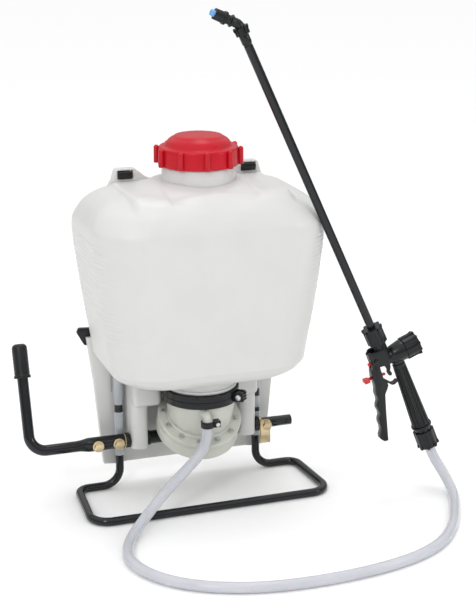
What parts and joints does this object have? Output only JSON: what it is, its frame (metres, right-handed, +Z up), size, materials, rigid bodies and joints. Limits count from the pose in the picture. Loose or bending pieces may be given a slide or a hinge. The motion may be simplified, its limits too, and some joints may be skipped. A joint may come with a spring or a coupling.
{
  "type": "backpack sprayer",
  "caption": "Backpack sprayer: a white tank on a tube frame, with a side lever, a diaphragm pump below, a hose, and a lance on a trigger handle.",
  "frame": {"origin": "on the floor, on the mid-plane, in the plane of the two frame uprights", "axes": "+X to the right seen from the pump side, -Y towards the pump side and away from the wearer, +Z up"},
  "size_m": [0.614, 0.4713, 0.7233],
  "materials": {
    "black_plastic": "moulded satin black",
    "brass": "turned",
    "frame_black": "gloss black paint",
    "grip_black": "matte black",
    "hose_clear": "milky clear flexible",
    "lid_red": "glossy moulded red",
    "nozzle_blue": "moulded light blue",
    "pad_fabric": "padded black",
    "pump_natural": "translucent natural plastic",
    "red_plastic": "moulded red",
    "seal_rubber": "smooth",
    "sleeve_grey": "translucent grey",
    "steel": "zinc plated",
    "tank_white": "satin translucent white plastic",
    "webbing": "woven black",
    "yellow_zinc": "yellow zinc plated"
  },
  "bodies": {
    "sprayer": {"diaphragm": "seal_rubber", "flange_screws": "steel", "frame_tube": "frame_black", "grip_collar": "black_plastic", "hand_grip": "grip_black", "handle_body": "black_plastic", "hose": "hose_clear", "hose_clamp": "black_plastic", "hose_clamp_screw": "steel", "inlet_flap": "seal_rubber", "inlet_valve_plate": "pump_natural", "lower_nut": "black_plastic", "neck_clamp": "black_plastic", "neck_clamp_screw": "steel", "outlet_elbow": "pump_natural", "pump_base": "pump_natural", "pump_dome": "pump_natural", "shoulder_pad_left": "pad_fabric", "shoulder_pad_right": "pad_fabric", "strap_adjuster_left": "black_plastic", "strap_adjuster_right": "black_plastic", "strap_anchor_left": "black_plastic", "strap_anchor_right": "black_plastic", "strap_webbing_left": "webbing", "strap_webbing_right": "webbing", "tank": "tank_white", "top_nut": "black_plastic", "trigger_pin": "black_plastic", "trigger_spring": "black_plastic", "tube_sleeve_left": "sleeve_grey", "tube_sleeve_right": "sleeve_grey"},
    "lever": {"crankshaft": "frame_black", "shaft_spacers": "black_plastic", "shaft_bushes": "black_plastic", "shaft_washers": "yellow_zinc", "lever_tube": "frame_black", "lever_bolts": "yellow_zinc", "lever_washers": "yellow_zinc", "lever_grip": "grip_black", "shaft_bracket": "yellow_zinc", "bracket_bolt": "yellow_zinc"},
    "plunger": {"plunger_rod": "steel", "diaphragm_plate_upper": "steel", "diaphragm_plate_lower": "steel", "plunger_nut": "steel"},
    "strainer": {"filler_strainer": "black_plastic"},
    "seal": {"lid_seal": "seal_rubber"},
    "lid": {"lid": "lid_red"},
    "lance": {"lance_tube": "frame_black", "lance_ferrule": "black_plastic", "lance_tip_nut": "black_plastic", "nozzle_elbow": "black_plastic"},
    "nozzle": {"nozzle_cap": "black_plastic", "nozzle_tip": "nozzle_blue"},
    "side_cap": {"side_cap": "black_plastic"},
    "trigger": {"trigger": "black_plastic", "trigger_set_screw": "red_plastic"},
    "latch": {"trigger_latch": "red_plastic"},
    "valve_pin": {"valve_pin": "brass"}
  },
  "joints": [
    {"name": "pump_lever", "type": "hinge", "parent": "sprayer", "child": "lever", "pos_m": [0, -0.02, 0.083], "axis": [-1, 0, 0], "range_deg": [-20, 80]},
    {"name": "plunger_stroke", "type": "slide", "parent": "sprayer", "child": "plunger", "axis": [0, -0.4772, 0.8788], "range_m": [-0.0053, 0.0207], "deforming": ["diaphragm"]},
    {"name": "strainer_lift", "type": "slide", "parent": "sprayer", "child": "strainer", "axis": [0, 0, 1], "range_m": [0, 0.13]},
    {"name": "lid_lift", "type": "slide", "parent": "strainer", "child": "seal", "axis": [0, 0, 1], "range_m": [0, 0.06]},
    {"name": "lid_turn", "type": "hinge", "parent": "seal", "child": "lid", "pos_m": [0, -0.06, 0.52], "axis": [0, 0, 1], "continuous": true},
    {"name": "lance_turn", "type": "hinge", "parent": "sprayer", "child": "lance", "pos_m": [0.2294, -0.151, 0.2624], "axis": [-0.4174, 0, 0.9087], "continuous": true},
    {"name": "nozzle_turn", "type": "hinge", "parent": "lance", "child": "nozzle", "pos_m": [0.0278, -0.151, 0.70132], "axis": [-0.915, 0, 0.4035], "range_deg": [-180, 180]},
    {"name": "side_cap_turn", "type": "hinge", "parent": "sprayer", "child": "side_cap", "pos_m": [0.28194, -0.151, 0.22421], "axis": [0.9281, 0, 0.3723], "continuous": true},
    {"name": "trigger_squeeze", "type": "hinge", "parent": "sprayer", "child": "trigger", "pos_m": [0.23432, -0.151, 0.21265], "axis": [0, -1, 0], "range_deg": [0, 12], "stiffness_Nm_per_rad": 0.6, "springref_deg": -11.46, "deforming": ["trigger_spring"]},
    {"name": "latch_slide", "type": "slide", "parent": "trigger", "child": "latch", "axis": [0.9761, 0, 0.2175], "range_m": [0, 0.004]},
    {"name": "valve_pin_slide", "type": "slide", "parent": "sprayer", "child": "valve_pin", "axis": [0.9281, 0, 0.3723], "range_m": [0, 0.0022]}
  ],
  "couplings": [
    {"joint": "plunger_stroke", "follows": "pump_lever", "m_per_rad": 0.0147},
    {"joint": "valve_pin_slide", "follows": "trigger_squeeze", "m_per_rad": 0.0102}
  ]
}
